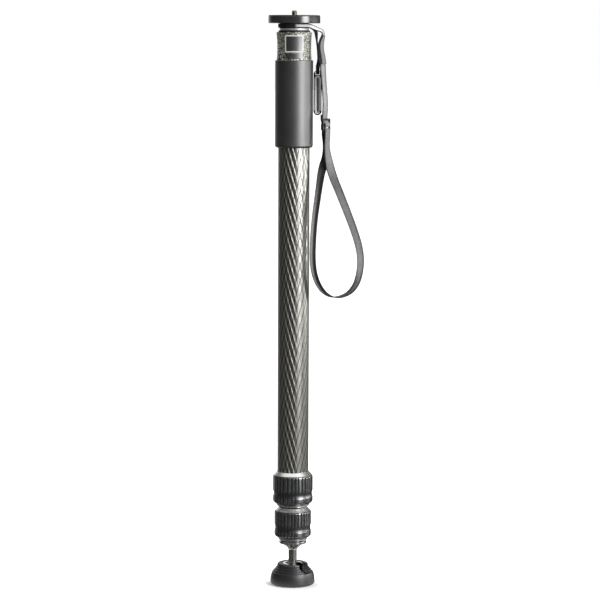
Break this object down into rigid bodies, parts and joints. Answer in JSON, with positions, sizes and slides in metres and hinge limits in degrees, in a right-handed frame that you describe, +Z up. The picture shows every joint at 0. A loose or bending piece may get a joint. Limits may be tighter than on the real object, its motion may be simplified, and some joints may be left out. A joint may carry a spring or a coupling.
{
  "type": "camera monopod",
  "caption": "Telescoping carbon camera monopod with twist locks, a ball-jointed rubber foot, a foam grip, a round camera platform and a wrist strap.",
  "frame": {"origin": "centre of the sole, on the floor, under the axis of the upright pole", "axes": "+Z up along the pole, +X towards the side that the wrist strap hangs on, -Y towards the front with the blank plate"},
  "size_m": [0.1128, 0.063, 0.6732],
  "materials": {
    "foot_rubber": "matt black rubber",
    "socket_alloy": "machined",
    "bright_ring": "polished",
    "liner_plastic": "plain",
    "stud_steel": "turned and polished",
    "end_alloy": "satin grey",
    "carbon": "clear-coated woven carbon",
    "guide_plastic": "plain",
    "lock_alloy": "satin silver",
    "lock_rubber": "satin black rubber",
    "seal_rubber": "plain",
    "grip_foam": "smooth closed foam",
    "casting_paint": "hammered grey paint",
    "plate_metal": "bright edge",
    "panel_black": "blank, smooth",
    "washer_black": "plain",
    "ring_alloy": "satin silver",
    "black_metal": "satin black",
    "bolt_steel": "plain",
    "disc_metal": "satin black, turned edge",
    "pad_rubber": "matt",
    "screw_steel": "threaded, slotted",
    "webbing": "ribbed grey webbing",
    "slider_plastic": "plain",
    "hook_black": "gloss black",
    "gate_metal": "satin"
  },
  "bodies": {
    "foot": {"foot_rubber": "foot_rubber", "foot_socket": "socket_alloy", "retaining_ring": "bright_ring"},
    "foot_liner": {"ball_liner": "liner_plastic"},
    "stud": {"ball_stud": "stud_steel"},
    "lower_section": {"end_ferrule": "end_alloy", "lower_tube": "carbon", "lower_guides": "guide_plastic"},
    "middle_section": {"middle_tube": "carbon", "middle_guides": "guide_plastic", "middle_ferrule": "lock_alloy"},
    "lower_clamp": {"lower_collet": "guide_plastic"},
    "lower_collar": {"lower_lock_collar": "lock_alloy", "lower_lock_grip": "lock_rubber", "lower_seal": "seal_rubber"},
    "upper_section": {"upper_tube": "carbon", "upper_ferrule": "lock_alloy", "grip_sleeve": "grip_foam", "head_casting": "casting_paint", "head_plate": "plate_metal", "head_panel": "panel_black", "head_label": "panel_black", "neck_washer": "washer_black", "neck_ring": "ring_alloy", "neck_post": "black_metal", "head_bolt": "bolt_steel", "platform_disc": "disc_metal", "platform_pad": "pad_rubber", "camera_screw": "screw_steel", "set_screws": "bolt_steel"},
    "upper_clamp": {"upper_collet": "guide_plastic"},
    "upper_collar": {"upper_lock_collar": "lock_alloy", "upper_lock_grip": "lock_rubber", "upper_seal": "seal_rubber"},
    "strap": {"neck_strap": "webbing", "strap_slider": "slider_plastic", "hook_frame": "hook_black", "hook_pin": "bolt_steel"},
    "wrist": {"wrist_strap": "webbing"},
    "gate": {"hook_gate": "gate_metal"}
  },
  "joints": [
    {"name": "foot_side_tilt", "type": "hinge", "parent": "foot", "child": "foot_liner", "pos_m": [0, 0, 0.01396], "axis": [0.766, -0.6428, 0], "range_deg": [-8, 8]},
    {"name": "foot_tilt", "type": "hinge", "parent": "foot_liner", "child": "stud", "pos_m": [0, 0, 0.01396], "axis": [0.6428, 0.766, 0], "range_deg": [-10, 70]},
    {"name": "pole_spin", "type": "hinge", "parent": "stud", "child": "lower_section", "pos_m": [0, 0, 0.05], "axis": [0, 0, 1], "continuous": true},
    {"name": "lower_extend", "type": "slide", "parent": "lower_section", "child": "middle_section", "axis": [0, 0, 1], "range_m": [0, 0.4]},
    {"name": "lower_lock_screw", "type": "slide", "parent": "middle_section", "child": "lower_clamp", "axis": [0, 0, -1], "range_m": [0, 0.00066666]},
    {"name": "lower_lock_turn", "type": "hinge", "parent": "lower_clamp", "child": "lower_collar", "pos_m": [0, 0, 0.07], "axis": [0, 0, 1], "range_deg": [0, 120]},
    {"name": "upper_extend", "type": "slide", "parent": "middle_section", "child": "upper_section", "axis": [0, 0, 1], "range_m": [0, 0.4]},
    {"name": "upper_lock_screw", "type": "slide", "parent": "upper_section", "child": "upper_clamp", "axis": [0, 0, -1], "range_m": [0, 0.00066666]},
    {"name": "upper_lock_turn", "type": "hinge", "parent": "upper_clamp", "child": "upper_collar", "pos_m": [0, 0, 0.11], "axis": [0, 0, 1], "range_deg": [0, 120]},
    {"name": "strap_swivel", "type": "hinge", "parent": "upper_section", "child": "strap", "pos_m": [0, 0, 0.6557], "axis": [0, 0, 1], "continuous": true},
    {"name": "wrist_swing", "type": "hinge", "parent": "strap", "child": "wrist", "pos_m": [0.0372, -0.003, 0.53516], "axis": [-0.6, -0.8, 0], "range_deg": [0, 70]},
    {"name": "hook_gate_turn", "type": "hinge", "parent": "strap", "child": "gate", "pos_m": [0.0272, 0, 0.55706], "axis": [-1, 0, 0], "range_deg": [0, 25], "stiffness_Nm_per_rad": 0.12, "springref_deg": -20.05}
  ],
  "couplings": [
    {"joint": "lower_lock_turn", "follows": "lower_lock_screw", "rad_per_m": 3141.6},
    {"joint": "upper_lock_turn", "follows": "upper_lock_screw", "rad_per_m": 3141.6}
  ]
}
